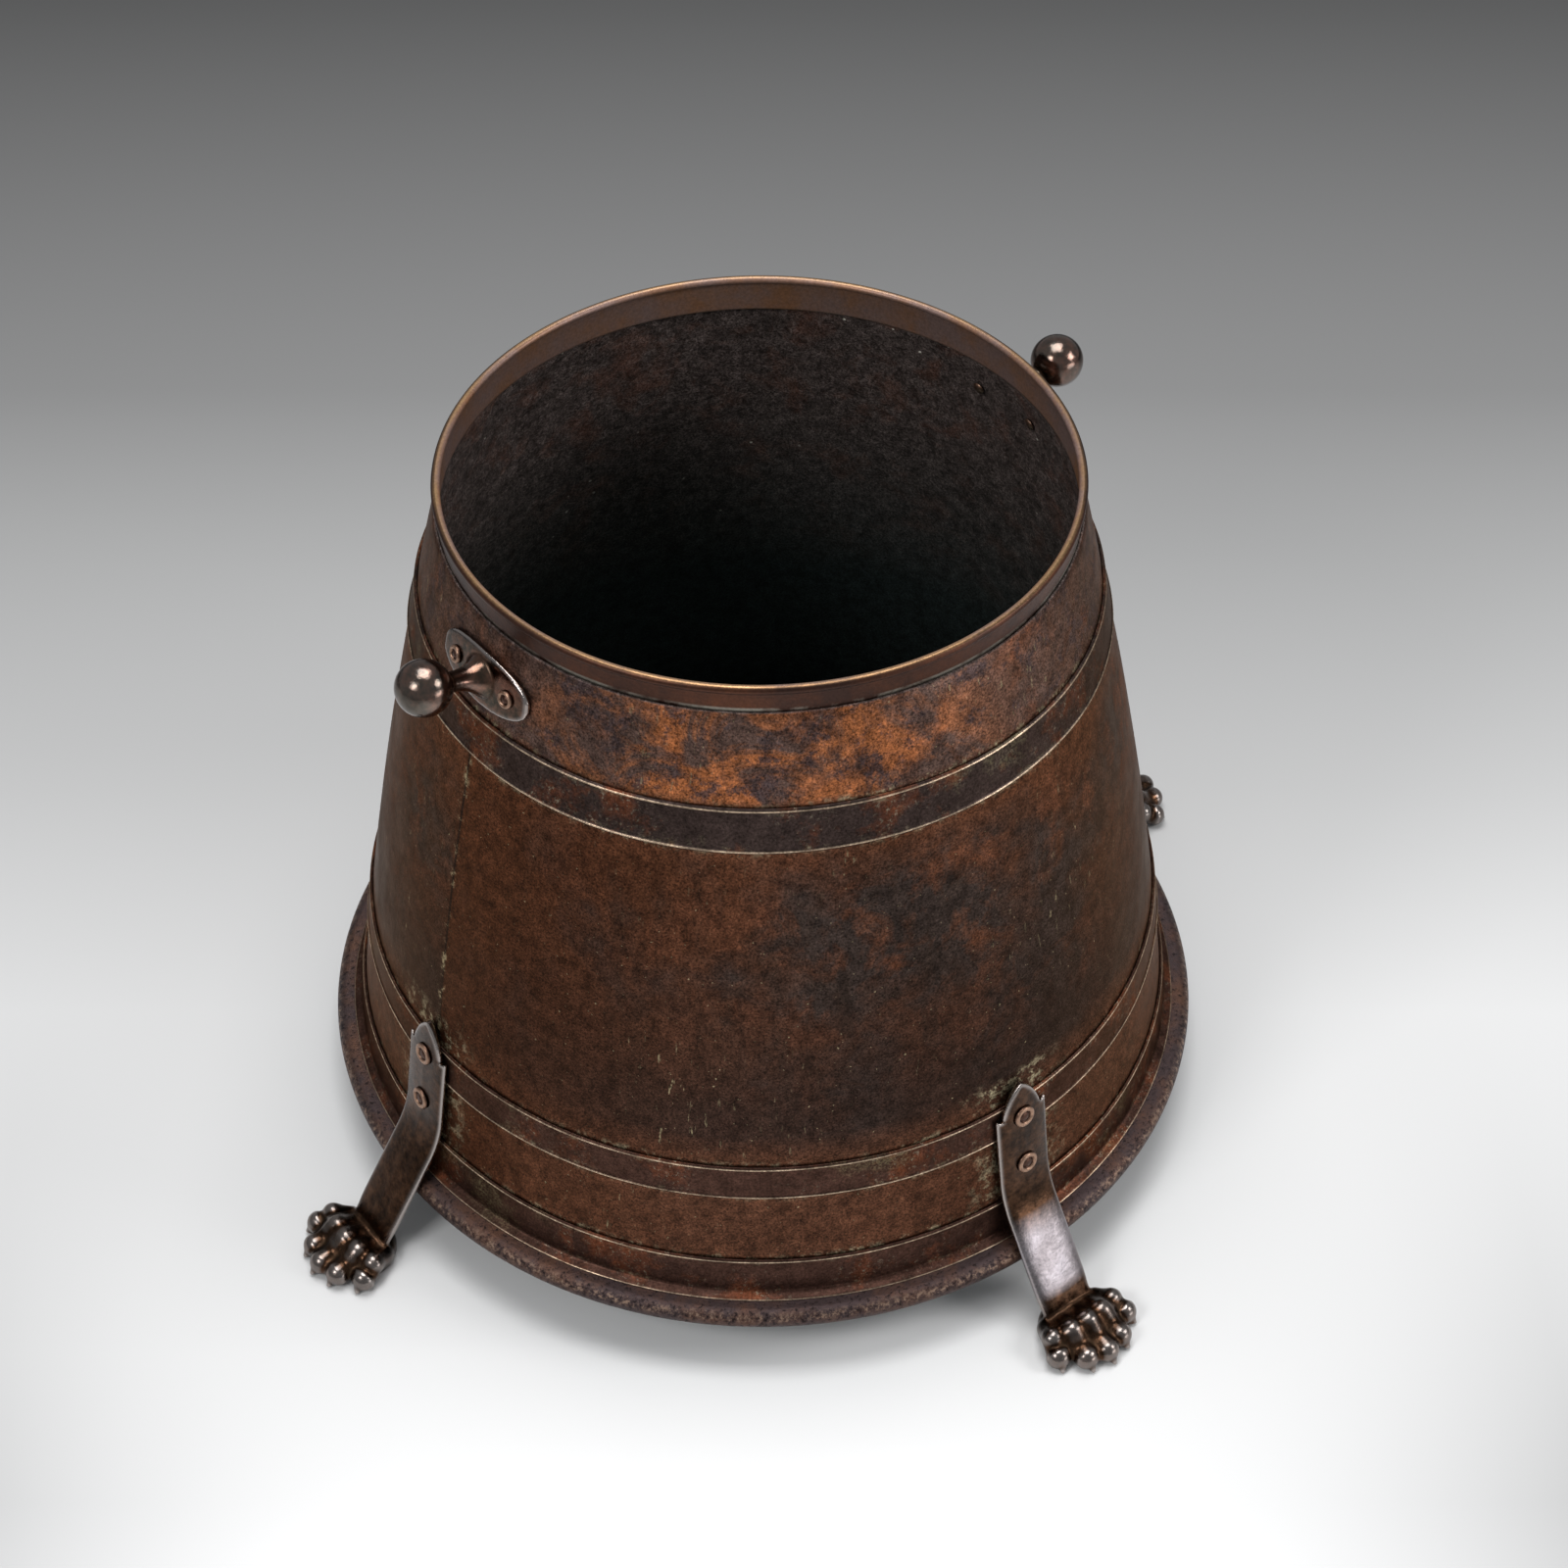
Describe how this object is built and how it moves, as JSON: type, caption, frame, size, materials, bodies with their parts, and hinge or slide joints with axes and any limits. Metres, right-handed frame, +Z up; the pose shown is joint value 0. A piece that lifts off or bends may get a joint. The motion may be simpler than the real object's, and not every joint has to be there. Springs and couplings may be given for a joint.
{
  "type": "coal scuttle",
  "caption": "Tapered copper fuel bucket for the hearth, bound with beaded hoops, on riveted strap legs with lion's-paw feet and carried by ball knobs below the rim.",
  "frame": {"origin": "on the floor, under the middle of the bucket", "axes": "+Z up along the bucket's axis; the legs stand on the X and Y axes, and the carrying knobs stand 1.6 degrees round from the X axis"},
  "size_m": [0.5868, 0.5868, 0.3899],
  "materials": {
    "aged_copper": "dark brown patinated copper sheet, semi-gloss, worn along the beads",
    "dark_hoop": "dark brown-black patinated copper band",
    "worn_rim": "red-brown band with a polished golden rolled edge",
    "rolled_ring": "purple-brown pitted band with a pale worn edge",
    "iron_wire": "plain iron wire inside the rolled rim",
    "cast_bronze": "cast bronze, dark patina, polished where it is touched",
    "rivet_copper": "dull copper rivet with a dark dimple"
  },
  "bodies": {
    "root": {"bucket_body": "aged_copper", "floor_plate": "dark_hoop", "base_ring": "rolled_ring", "neck_collar": "worn_rim", "rim_wire": "iron_wire", "foot_hoop": "dark_hoop", "lower_hoop": "dark_hoop", "upper_hoop": "dark_hoop", "leg_right": "cast_bronze", "leg_back": "cast_bronze", "leg_left": "cast_bronze", "leg_front": "cast_bronze", "handle_right": "cast_bronze", "handle_left": "cast_bronze", "leg_rivet_right_upper": "rivet_copper", "leg_rivet_right_lower": "rivet_copper", "leg_rivet_back_upper": "rivet_copper", "leg_rivet_back_lower": "rivet_copper", "leg_rivet_left_upper": "rivet_copper", "leg_rivet_left_lower": "rivet_copper", "leg_rivet_front_upper": "rivet_copper", "leg_rivet_front_lower": "rivet_copper", "handle_rivet_right_a": "rivet_copper", "handle_rivet_right_b": "rivet_copper", "handle_rivet_left_a": "rivet_copper", "handle_rivet_left_b": "rivet_copper"}
  },
  "joints": []
}
